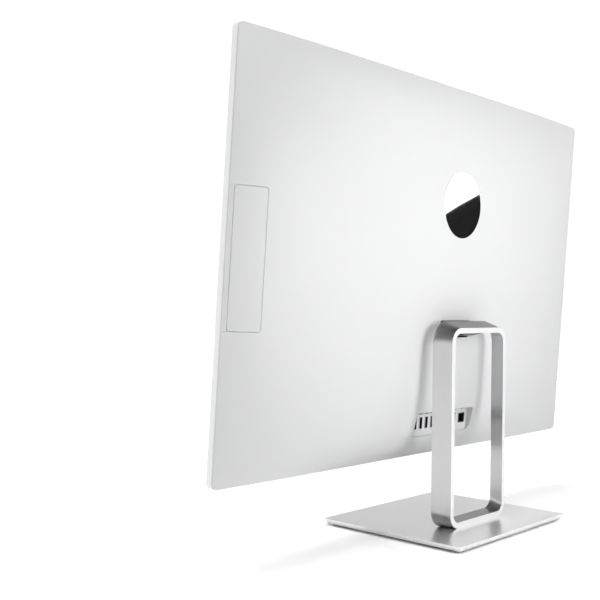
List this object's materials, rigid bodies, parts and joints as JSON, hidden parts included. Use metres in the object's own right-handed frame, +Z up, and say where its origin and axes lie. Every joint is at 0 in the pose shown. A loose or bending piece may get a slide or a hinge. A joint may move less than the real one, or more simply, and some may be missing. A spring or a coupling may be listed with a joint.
{
  "type": "all in one pc",
  "caption": "Desktop computer built behind a wide display, on a tilting loop stand with a flat base, side disc tray and rising camera.",
  "frame": {"origin": "middle of the underside of the base, on the surface that it stands on", "axes": "+Z up; the screen faces -Y and the back of the computer faces +Y; +X is the right side of a user who faces the screen"},
  "size_m": [0.6146, 0.17, 0.4702],
  "materials": {
    "white_cover": "fine moulded satin",
    "white_band": "satin, smoother than the cover",
    "black_bezel": "dark polished frame",
    "grille_cloth": "fine woven speaker cloth",
    "screen_glass": "dark anti-glare panel",
    "acrylic_stack": "light guide and films",
    "sheet_steel": "galvanised sheet",
    "black_plastic": "moulded, fine texture",
    "paper_cone": "pressed cone",
    "port_metal": "bright nickel",
    "circuit_board": "solder mask",
    "chip_metal": "bead blasted",
    "copper": "copper",
    "fin_metal": "thin fins",
    "satin_silver": "satin anodised",
    "base_silver": "satin silver",
    "black_rubber": "matt",
    "dark_hinge": "dark satin",
    "badge_chrome": "plain mirror disc",
    "lens_glass": "camera lens"
  },
  "bodies": {
    "stand": {"base_plate": "base_silver", "base_pad": "black_rubber", "base_screws": "port_metal", "stand_ring": "satin_silver", "hinge_neck": "dark_hinge", "hinge_pin": "port_metal", "friction_washers": "port_metal", "hinge_nuts": "port_metal", "hinge_cover": "dark_hinge"},
    "head": {"mid_frame": "white_band", "front_bezel": "black_bezel", "speaker_grille": "grille_cloth", "lcd_panel": "screen_glass", "backlight_unit": "acrylic_stack", "chassis_plate": "sheet_steel", "speaker_left": "black_plastic", "speaker_right": "black_plastic", "speaker_drivers": "paper_cone", "rear_cover": "white_cover", "power_inlet": "black_plastic", "audio_jack": "black_plastic", "io_panel": "white_cover", "usb_ports": "port_metal", "hdmi_ports": "port_metal", "network_port": "port_metal", "motherboard": "circuit_board", "board_standoffs": "port_metal", "processor": "chip_metal", "memory_sockets": "black_plastic", "memory_modules": "circuit_board", "ssd_module": "circuit_board", "wireless_card": "circuit_board", "hard_drive": "chip_metal", "cold_plate": "copper", "heat_pipe": "copper", "fin_stack": "fin_metal", "fan_housing": "black_plastic", "drive_case": "sheet_steel", "camera_guide": "black_plastic", "power_switch": "black_plastic", "rear_badge": "badge_chrome", "wifi_antennas": "circuit_board", "hinge_bracket": "sheet_steel", "bracket_screws": "sheet_steel"},
    "fan": {"fan_rotor": "black_plastic"},
    "drive": {"drive_tray": "black_plastic", "drive_faceplate": "white_cover"},
    "spindle": {"disc_spindle": "black_plastic"},
    "camera": {"camera_module": "white_cover", "camera_lens": "lens_glass"},
    "button": {"power_button": "white_cover"}
  },
  "joints": [
    {"name": "tilt", "type": "hinge", "parent": "stand", "child": "head", "pos_m": [0, 0.0088, 0.2075], "axis": [-1, 0, 0], "range_deg": [-8, 21]},
    {"name": "fan_spin", "type": "hinge", "parent": "head", "child": "fan", "pos_m": [-0.11, -0.00661, 0.39544], "axis": [0, 0.9978, -0.0666], "continuous": true},
    {"name": "tray_slide", "type": "slide", "parent": "head", "child": "drive", "axis": [1, 0, 0], "range_m": [0, 0.118]},
    {"name": "disc_spin", "type": "hinge", "parent": "drive", "child": "spindle", "pos_m": [0.2108, -0.01625, 0.26981], "axis": [0, 0.9978, -0.0666], "continuous": true},
    {"name": "camera_rise", "type": "slide", "parent": "head", "child": "camera", "axis": [0, 0.0666, 0.9978], "range_m": [0, 0.018]},
    {"name": "button_press", "type": "slide", "parent": "head", "child": "button", "axis": [0, 0.0666, 0.9978], "range_m": [0, 0.001], "stiffness_N_per_m": 400}
  ]
}
